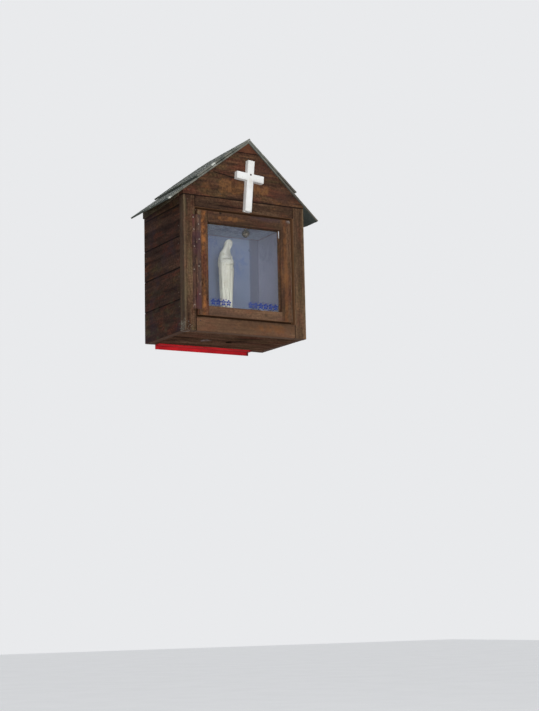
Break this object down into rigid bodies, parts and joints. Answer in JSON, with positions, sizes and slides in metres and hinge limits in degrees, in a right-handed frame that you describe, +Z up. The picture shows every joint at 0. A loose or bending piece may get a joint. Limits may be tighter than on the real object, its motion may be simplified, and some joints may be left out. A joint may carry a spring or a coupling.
{
  "type": "wayside shrine",
  "caption": "Small gabled wooden wayside shrine with a glazed hinged door, a statue in its niche and a cross on its gable, made to hang on a trunk or post.",
  "frame": {"origin": "centre of the third board of the flat back face, where the box meets its trunk", "axes": "+X to the right seen from the front, +Y out of the back face, +Z up"},
  "size_m": [0.3725, 0.208, 0.4501],
  "materials": {
    "stained_boards": "dark brown stain, weathered",
    "front_frame_wood": "brown stain, worn at the edges",
    "door_wood": "orange-brown stain, worn at the edges",
    "roof_sheet": "grey sheet with some moss",
    "painted_lining": "pale grey-blue paint, mottled",
    "hinge_metal": "dull brown paint",
    "screw_metal": "dull",
    "glass": "clear",
    "knob_varnish": "glossy varnish",
    "red_paint": "satin red paint, chipped",
    "white_paint": "white paint",
    "statue_ceramic": "matt cream"
  },
  "bodies": {
    "case": {"back_board_1": "stained_boards", "back_board_2": "stained_boards", "back_board_3": "stained_boards", "back_board_4": "stained_boards", "back_board_5": "stained_boards", "back_board_6": "stained_boards", "back_lining": "painted_lining", "ceiling_board": "painted_lining", "ceiling_knob": "knob_varnish", "cross": "white_paint", "floor_board": "stained_boards", "gable_board_lower": "front_frame_wood", "gable_board_upper": "front_frame_wood", "hinge_leaf_post": "hinge_metal", "hinge_pin": "screw_metal", "left_lining": "painted_lining", "left_post": "front_frame_wood", "left_wall_board_1": "stained_boards", "left_wall_board_2": "stained_boards", "left_wall_board_3": "stained_boards", "left_wall_board_4": "stained_boards", "lintel": "front_frame_wood", "right_lining": "painted_lining", "right_post": "front_frame_wood", "right_wall_board_1": "stained_boards", "right_wall_board_2": "stained_boards", "right_wall_board_3": "stained_boards", "right_wall_board_4": "stained_boards", "roof_left_lower_sheet": "roof_sheet", "roof_left_upper_sheet": "roof_sheet", "roof_right_lower_sheet": "roof_sheet", "roof_right_upper_sheet": "roof_sheet", "sill_rail": "front_frame_wood", "statue": "statue_ceramic", "support_ledge": "red_paint"},
    "door": {"door_bottom_rail": "door_wood", "door_left_stile": "door_wood", "door_right_stile": "door_wood", "door_top_rail": "door_wood", "glazing_bead_bottom": "door_wood", "glazing_bead_left": "door_wood", "glazing_bead_right": "door_wood", "glazing_bead_top": "door_wood", "glass_pane": "glass", "hinge_leaf_door": "hinge_metal"}
  },
  "joints": [
    {"name": "door_hinge", "type": "hinge", "parent": "case", "child": "door", "pos_m": [-0.1195, -0.197, -0.022], "axis": [0, 0, -1], "range_deg": [0, 110]}
  ]
}
